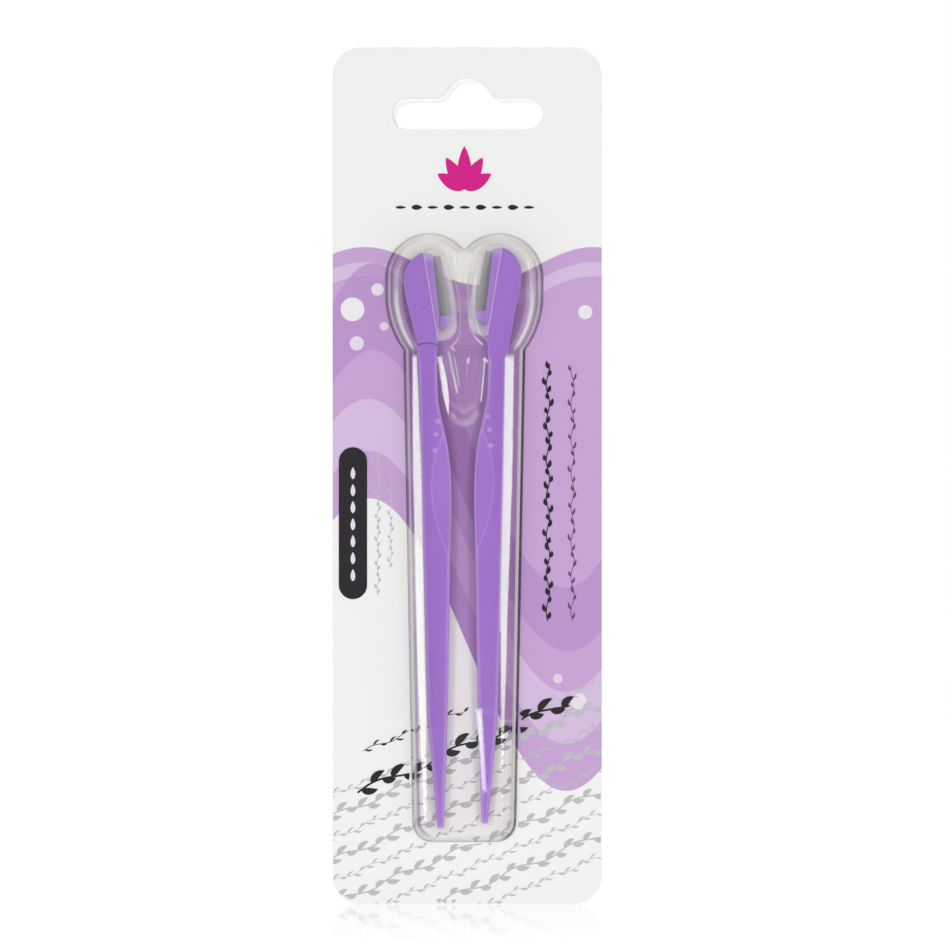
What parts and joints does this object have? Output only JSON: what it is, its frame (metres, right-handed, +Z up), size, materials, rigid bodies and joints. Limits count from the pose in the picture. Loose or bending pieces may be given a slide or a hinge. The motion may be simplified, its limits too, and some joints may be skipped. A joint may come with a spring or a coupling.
{
  "type": "eyebrow razor",
  "caption": "Slim eyebrow razors with clear clip-on blade guards, sealed under a clear blister on a hang card with a euro slot.",
  "frame": {"origin": "crown of the hang slot, on the plane where the two plies of card meet", "axes": "+X to the right as a shopper sees the pack, +Y out of its back, +Z up the card"},
  "size_m": [0.057, 0.008, 0.1815],
  "materials": {
    "printed_card": "coated board, satin",
    "plain_card": "uncoated board, matt",
    "clear_film": "clear thermoformed film, smooth, glossy",
    "purple_plastic": "smooth, glossy",
    "blade_steel": "finely ground",
    "clear_guard": "clear moulded plastic, smooth, glossy"
  },
  "bodies": {
    "blister_card": {"card_front": "printed_card", "blister_shell": "clear_film"},
    "back_board": {"card_back": "plain_card"},
    "razor_left": {"handle_left": "purple_plastic", "head_plate_left": "purple_plastic", "blade_left": "blade_steel"},
    "razor_right": {"handle_right": "purple_plastic", "head_plate_right": "purple_plastic", "blade_right": "blade_steel"},
    "guard_left": {"blade_cover_left": "clear_guard"},
    "guard_right": {"blade_cover_right": "clear_guard"}
  },
  "joints": [
    {"name": "back_board_off", "type": "slide", "parent": "blister_card", "child": "back_board", "axis": [0, 1, 0], "range_m": [0, 0.1]},
    {"name": "razor_left_out", "type": "slide", "parent": "blister_card", "child": "razor_left", "axis": [0, 1, 0], "range_m": [0, 0.065]},
    {"name": "razor_right_out", "type": "slide", "parent": "blister_card", "child": "razor_right", "axis": [0, 1, 0], "range_m": [0, 0.035]},
    {"name": "guard_left_off", "type": "slide", "parent": "razor_left", "child": "guard_left", "axis": [0.9866, 0, 0.1633], "range_m": [0, 0.006]},
    {"name": "guard_right_off", "type": "slide", "parent": "razor_right", "child": "guard_right", "axis": [-0.9866, 0, 0.1633], "range_m": [0, 0.006]}
  ],
  "couplings": [
    {"joint": "razor_left_out", "follows": "back_board_off", "ratio": 0.65},
    {"joint": "razor_right_out", "follows": "back_board_off", "ratio": 0.35},
    {"joint": "guard_left_off", "follows": "back_board_off", "ratio": 0.06},
    {"joint": "guard_right_off", "follows": "back_board_off", "ratio": 0.06}
  ]
}
